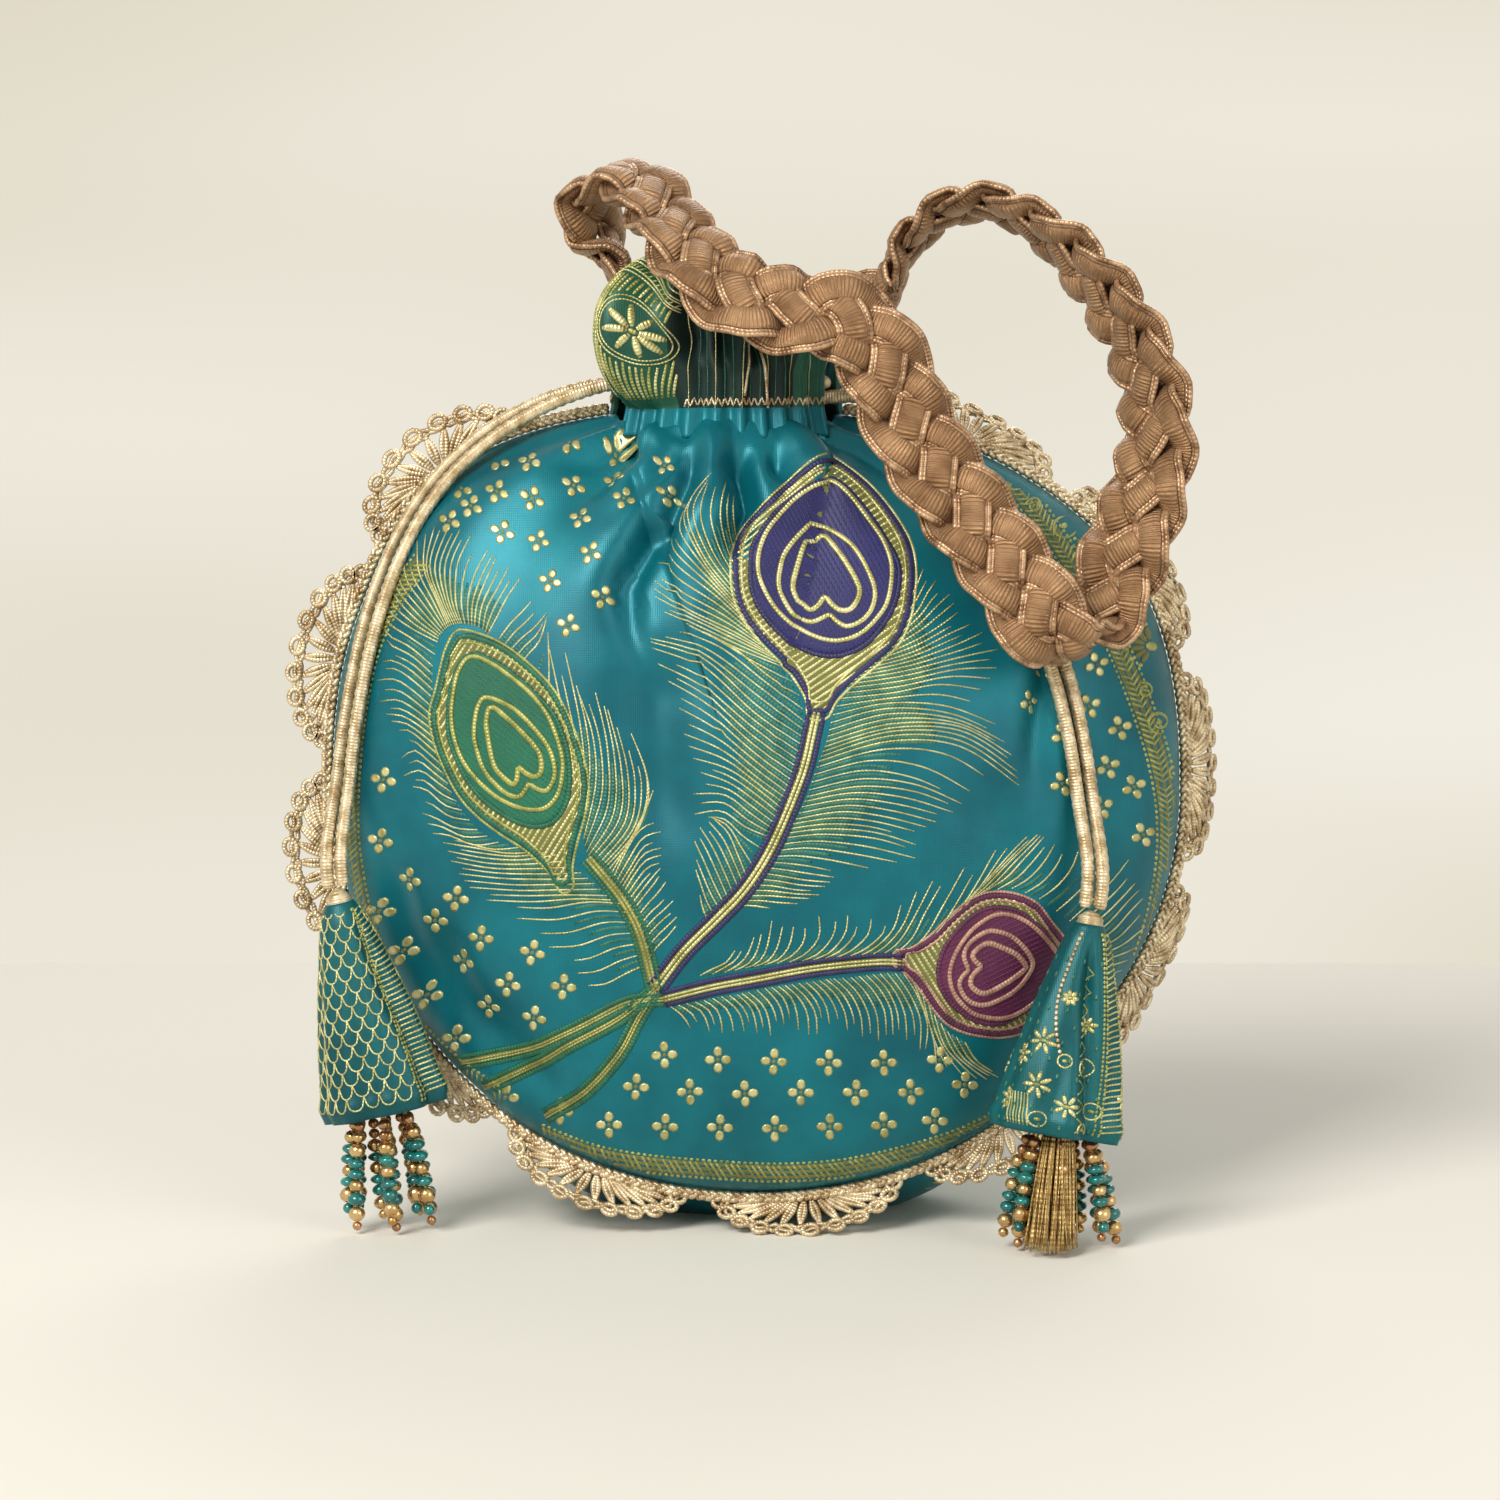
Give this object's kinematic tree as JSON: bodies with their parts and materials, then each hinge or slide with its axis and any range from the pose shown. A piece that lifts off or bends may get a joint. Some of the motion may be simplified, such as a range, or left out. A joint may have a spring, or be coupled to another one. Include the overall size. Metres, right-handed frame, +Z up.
{
  "type": "potli drawstring bag",
  "caption": "Round brocade pouch with a gathered neck, drawcords that end in beaded cloth tassels, a braided carrying handle and a scalloped lace edge; stands on its base",
  "frame": {"origin": "Centre of the flat base that the pouch stands on", "axes": "+Z up, longest; the front faces -Y, the thinnest direction; +X to the right seen from the front"},
  "size_m": [0.2297, 0.1066, 0.26],
  "materials": {
    "teal_brocade": "teal satin brocade with gold thread",
    "green_brocade": "green and gold brocade",
    "lining_cotton": "plain cream cotton",
    "champagne_lace": "champagne metallic crochet lace",
    "bronze_satin": "bronze satin braid",
    "gold_cord": "pale gold braided cord",
    "gold_thread": "gold metallic thread",
    "beads": "gold and teal beads"
  },
  "bodies": {
    "bag": {"front_panel": "teal_brocade", "back_panel": "teal_brocade", "lining": "lining_cotton", "front_ruffle": "green_brocade", "back_ruffle": "green_brocade", "lace_trim": "champagne_lace", "handle": "bronze_satin", "left_drawcord_loop": "gold_cord", "right_drawcord_loop": "gold_cord", "left_cord_front": "gold_cord", "left_cord_back": "gold_cord", "right_cord_front": "gold_cord", "right_cord_back": "gold_cord"},
    "left_tassel": {"left_tassel_cone": "teal_brocade", "left_tassel_core": "gold_cord"},
    "left_beads": {"left_bead_strand_1": "beads", "left_bead_strand_2": "beads", "left_bead_strand_3": "beads", "left_bead_strand_4": "beads", "left_bead_strand_5": "beads", "left_bead_strand_6": "beads"},
    "right_tassel": {"right_tassel_cone": "teal_brocade", "right_tassel_core": "gold_cord"},
    "right_beads": {"right_bead_strand_1": "beads", "right_bead_strand_2": "beads", "right_bead_strand_3": "beads", "right_bead_strand_4": "beads", "right_bead_strand_5": "beads", "right_bead_strand_6": "beads", "right_thread_fringe": "gold_thread"}
  },
  "joints": [
    {"name": "left_tassel_swing", "type": "hinge", "parent": "bag", "child": "left_tassel", "pos_m": [-0.104, -0.027, 0.081], "axis": [0, 1, 0], "range_deg": [-8, 40]},
    {"name": "right_tassel_swing", "type": "hinge", "parent": "bag", "child": "right_tassel", "pos_m": [0.0775, -0.0415, 0.078], "axis": [0, -1, 0], "range_deg": [-15, 40]},
    {"name": "left_beads_swing", "type": "hinge", "parent": "left_tassel", "child": "left_beads", "pos_m": [-0.0945, -0.0295, 0.0389], "axis": [1, 0, 0], "range_deg": [-8, 8]},
    {"name": "right_beads_swing", "type": "hinge", "parent": "right_tassel", "child": "right_beads", "pos_m": [0.0705, -0.0468, 0.0369], "axis": [1, 0, 0], "range_deg": [-8, 8]}
  ]
}
